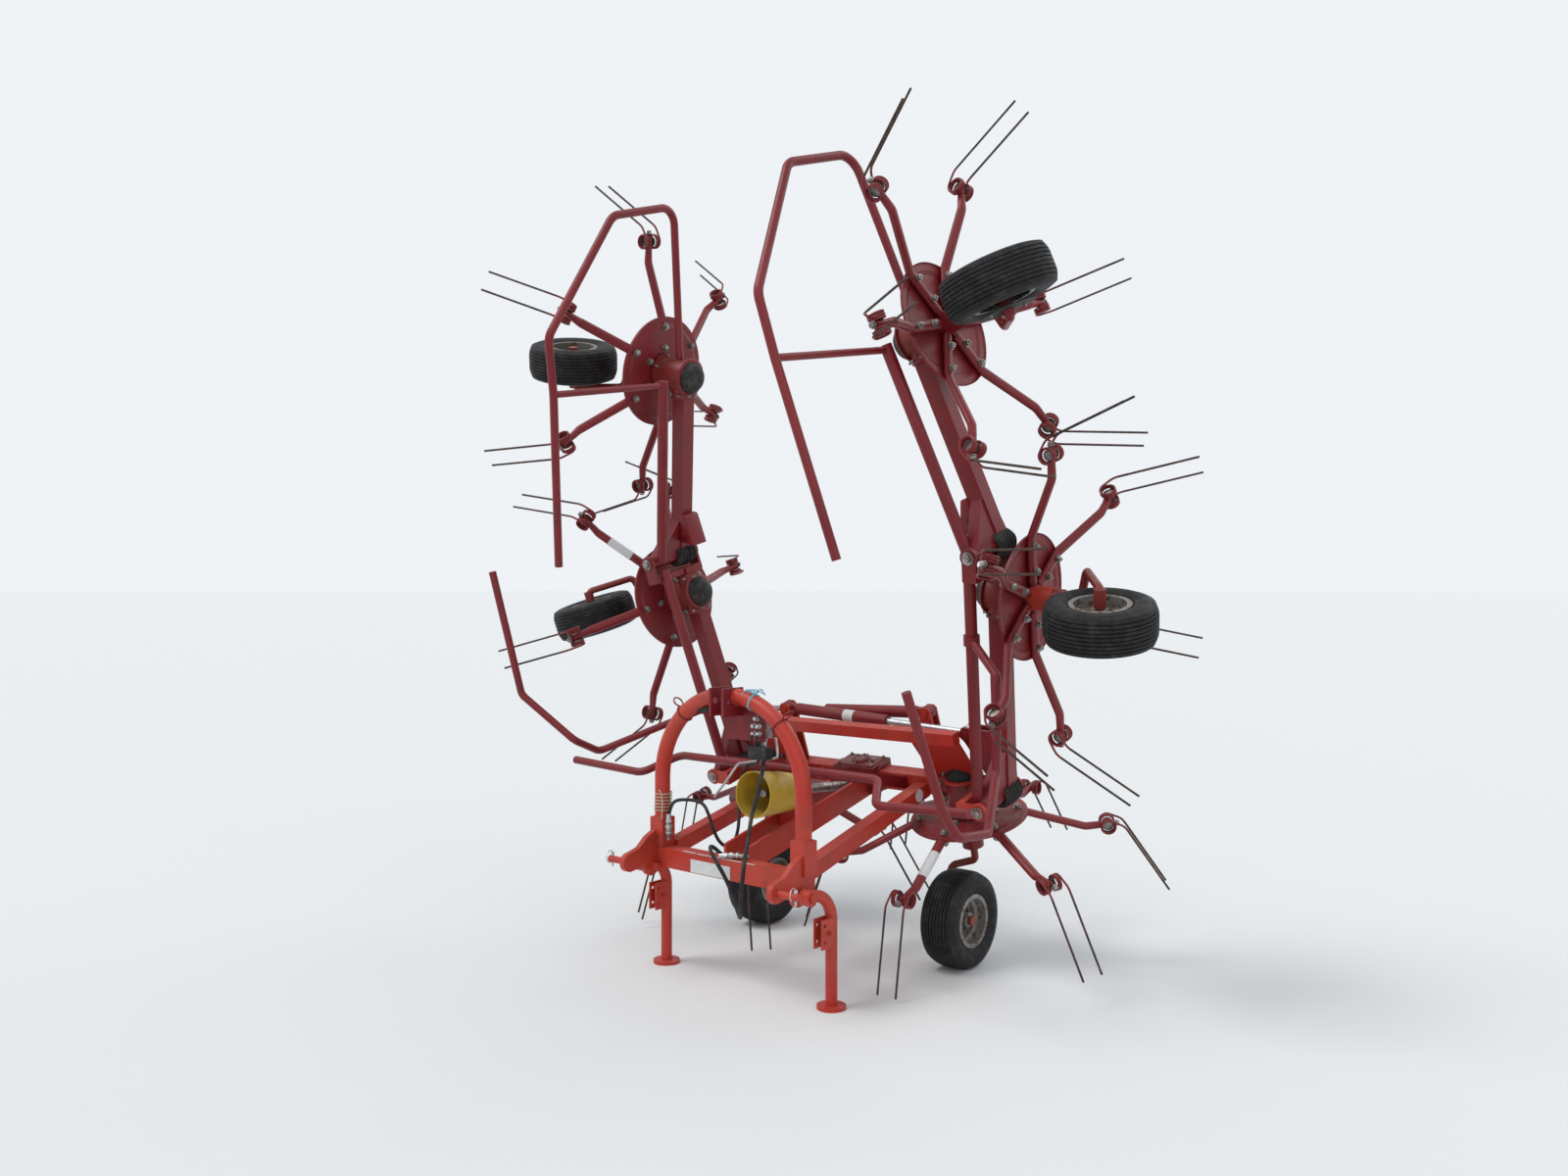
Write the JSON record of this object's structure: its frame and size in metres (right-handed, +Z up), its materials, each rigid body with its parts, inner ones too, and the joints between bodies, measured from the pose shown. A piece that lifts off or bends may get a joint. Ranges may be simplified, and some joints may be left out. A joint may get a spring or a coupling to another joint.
{
  "type": "six-rotor hay tedder",
  "caption": "Mounted hay tedder parked on its two middle wheels and two stands, both wings folded up, with tine rotors, wheels, guards and folding cylinders.",
  "frame": {"origin": "on the ground under the middle of the whole parked machine", "axes": "+X to the machine side nearest the camera, -Y to the tractor, +Z up"},
  "size_m": [3.1271, 2.2677, 3.4513],
  "materials": {
    "black_rubber": "dirty",
    "chrome": "polished",
    "crimson_paint": "weathered satin",
    "gear_paint": "dirty satin",
    "orange_paint": "weathered satin",
    "rim": "dirty",
    "steel": "worn",
    "tine_steel": "rusty",
    "tyre": "worn",
    "yellow": "faded"
  },
  "bodies": {
    "frame": {"centre_frame": "orange_paint", "headstock": "orange_paint", "top_link_bracket": "crimson_paint", "centre_guard": "crimson_paint", "main_gearbox": "gear_paint", "pto_guard": "yellow", "valve_block": "steel", "head_centre_right": "gear_paint", "head_centre_left": "gear_paint", "hose_lift": "black_rubber", "hose_side": "black_rubber", "coupling_lift": "steel", "coupling_side": "steel"},
    "pto_shaft": {"pto_shaft": "steel"},
    "stand_right": {"stand_right": "orange_paint"},
    "wing_inner_right": {"wing_inner_right": "crimson_paint", "head_inner_right": "crimson_paint", "wing_guard_right": "crimson_paint"},
    "wing_outer_right": {"wing_outer_right": "crimson_paint", "head_outer_right": "crimson_paint", "outer_guard_right": "crimson_paint"},
    "rotor_centre_right": {"rotor_centre_right": "crimson_paint", "tines_centre_right": "tine_steel"},
    "wheel_centre_right": {"tyre_centre_right": "tyre", "rim_centre_right": "rim"},
    "rotor_inner_right": {"rotor_inner_right": "crimson_paint", "tines_inner_right": "tine_steel"},
    "wheel_inner_right": {"tyre_inner_right": "tyre", "rim_inner_right": "rim"},
    "rotor_outer_right": {"rotor_outer_right": "crimson_paint", "tines_outer_right": "tine_steel"},
    "wheel_outer_right": {"tyre_outer_right": "tyre", "rim_outer_right": "rim"},
    "barrel_right": {"barrel_right": "crimson_paint"},
    "piston_right": {"piston_right": "chrome"},
    "stand_left": {"stand_left": "orange_paint"},
    "wing_inner_left": {"wing_inner_left": "crimson_paint", "head_inner_left": "crimson_paint", "wing_guard_left": "crimson_paint"},
    "wing_outer_left": {"wing_outer_left": "crimson_paint", "head_outer_left": "crimson_paint", "outer_guard_left": "crimson_paint"},
    "rotor_centre_left": {"rotor_centre_left": "crimson_paint", "tines_centre_left": "tine_steel"},
    "wheel_centre_left": {"tyre_centre_left": "tyre", "rim_centre_left": "rim"},
    "rotor_inner_left": {"rotor_inner_left": "crimson_paint", "tines_inner_left": "tine_steel"},
    "wheel_inner_left": {"tyre_inner_left": "tyre", "rim_inner_left": "rim"},
    "rotor_outer_left": {"rotor_outer_left": "crimson_paint", "tines_outer_left": "tine_steel"},
    "wheel_outer_left": {"tyre_outer_left": "tyre", "rim_outer_left": "rim"},
    "barrel_left": {"barrel_left": "crimson_paint"},
    "piston_left": {"piston_left": "chrome"}
  },
  "joints": [
    {"name": "wing_fold_right", "type": "hinge", "parent": "frame", "child": "wing_inner_right", "pos_m": [0.74, 0.2271, 0.75272], "axis": [0, 0.9636, 0.2672], "range_deg": [0, 83]},
    {"name": "outer_fold_right", "type": "hinge", "parent": "wing_inner_right", "child": "wing_outer_right", "pos_m": [0.86918, -0.05406, 1.76655], "axis": [0, 0.9636, 0.2672], "range_deg": [0, 22.5]},
    {"name": "wing_fold_left", "type": "hinge", "parent": "frame", "child": "wing_inner_left", "pos_m": [-0.72, 0.2271, 0.75272], "axis": [0, -0.9636, -0.2672], "range_deg": [0, 81.5]},
    {"name": "outer_fold_left", "type": "hinge", "parent": "wing_inner_left", "child": "wing_outer_left", "pos_m": [-0.87668, -0.05306, 1.76295], "axis": [0, -0.9636, -0.2672], "range_deg": [0, 24.5]},
    {"name": "rotor_centre_right_spin", "type": "hinge", "parent": "frame", "child": "rotor_centre_right", "pos_m": [0.54, 0.2605, 0.63226], "axis": [0, -0.2672, 0.9636], "continuous": true},
    {"name": "rotor_centre_left_spin", "type": "hinge", "parent": "frame", "child": "rotor_centre_left", "pos_m": [-0.52, 0.2605, 0.63226], "axis": [0, -0.2672, 0.9636], "continuous": true},
    {"name": "rotor_inner_right_spin", "type": "hinge", "parent": "wing_inner_right", "child": "rotor_inner_right", "pos_m": [0.96888, 0.00306, 1.56058], "axis": [-0.9925, -0.0326, 0.1174], "continuous": true},
    {"name": "rotor_inner_left_spin", "type": "hinge", "parent": "wing_inner_left", "child": "rotor_inner_left", "pos_m": [-0.97074, 0.00474, 1.55453], "axis": [0.989, -0.0395, 0.1424], "continuous": true},
    {"name": "rotor_outer_right_spin", "type": "hinge", "parent": "wing_outer_right", "child": "rotor_outer_right", "pos_m": [0.75981, -0.28446, 2.59732], "axis": [-0.9636, 0.0714, -0.2575], "continuous": true},
    {"name": "rotor_outer_left_spin", "type": "hinge", "parent": "wing_outer_left", "child": "rotor_outer_left", "pos_m": [-0.75979, -0.28319, 2.59277], "axis": [0.9613, 0.0737, -0.2656], "continuous": true},
    {"name": "pto_spin", "type": "hinge", "parent": "frame", "child": "pto_shaft", "pos_m": [0.01, -0.528, 0.754], "axis": [0, 0.9983, -0.0576], "continuous": true},
    {"name": "wheel_centre_right_roll", "type": "hinge", "parent": "frame", "child": "wheel_centre_right", "pos_m": [0.552, 0.172, 0.203], "axis": [1, 0, 0], "continuous": true},
    {"name": "wheel_centre_left_roll", "type": "hinge", "parent": "frame", "child": "wheel_centre_left", "pos_m": [-0.532, 0.172, 0.203], "axis": [1, 0, 0], "continuous": true},
    {"name": "wheel_inner_right_roll", "type": "hinge", "parent": "wing_inner_right", "child": "wheel_inner_right", "pos_m": [1.35743, -0.18015, 1.47281], "axis": [0.1219, -0.2652, 0.9564], "continuous": true},
    {"name": "wheel_inner_left_roll", "type": "hinge", "parent": "wing_inner_left", "child": "wheel_inner_left", "pos_m": [-1.35823, -0.17576, 1.45697], "axis": [0.1478, 0.2643, -0.953], "continuous": true},
    {"name": "wheel_outer_right_roll", "type": "hinge", "parent": "wing_outer_right", "child": "wheel_outer_right", "pos_m": [1.13242, -0.50812, 2.65545], "axis": [-0.2672, -0.2575, 0.9286], "continuous": true},
    {"name": "wheel_outer_left_roll", "type": "hinge", "parent": "wing_outer_left", "child": "wheel_outer_left", "pos_m": [-1.13137, -0.50773, 2.65402], "axis": [-0.2756, 0.2569, -0.9263], "continuous": true},
    {"name": "stand_swing_right", "type": "hinge", "parent": "frame", "child": "stand_right", "pos_m": [0.455, -0.723, 0.445], "axis": [1, 0, 0], "range_deg": [0, 90]},
    {"name": "stand_swing_left", "type": "hinge", "parent": "frame", "child": "stand_left", "pos_m": [-0.435, -0.723, 0.445], "axis": [1, 0, 0], "range_deg": [0, 90]},
    {"name": "barrel_tilt_right", "type": "hinge", "parent": "frame", "child": "barrel_right", "pos_m": [-0.355, 0.13151, 1.03753], "axis": [0, 0.9636, 0.2672], "range_deg": [0, 3.21]},
    {"name": "piston_slide_right", "type": "slide", "parent": "barrel_right", "child": "piston_right", "axis": [0.9988, 0.0131, -0.0471], "range_m": [0, 0.3715]},
    {"name": "barrel_tilt_left", "type": "hinge", "parent": "frame", "child": "barrel_left", "pos_m": [0.375, 0.20089, 1.05677], "axis": [0, -0.9636, -0.2672], "range_deg": [0, 3.42]},
    {"name": "piston_slide_left", "type": "slide", "parent": "barrel_left", "child": "piston_left", "axis": [-0.999, 0.0121, -0.0435], "range_m": [0, 0.365]}
  ],
  "couplings": [
    {"joint": "rotor_centre_left_spin", "follows": "rotor_centre_right_spin", "ratio": -1},
    {"joint": "rotor_inner_right_spin", "follows": "rotor_centre_right_spin", "ratio": -1},
    {"joint": "rotor_inner_left_spin", "follows": "rotor_centre_right_spin", "ratio": 1},
    {"joint": "rotor_outer_right_spin", "follows": "rotor_centre_right_spin", "ratio": 1},
    {"joint": "rotor_outer_left_spin", "follows": "rotor_centre_right_spin", "ratio": -1},
    {"joint": "pto_spin", "follows": "rotor_centre_right_spin", "ratio": 3},
    {"joint": "barrel_tilt_right", "follows": "wing_fold_right", "ratio": 0.038616},
    {"joint": "piston_slide_right", "follows": "wing_fold_right", "m_per_rad": 0.25635},
    {"joint": "barrel_tilt_left", "follows": "wing_fold_left", "ratio": 0.04196},
    {"joint": "piston_slide_left", "follows": "wing_fold_left", "m_per_rad": 0.2565}
  ]
}
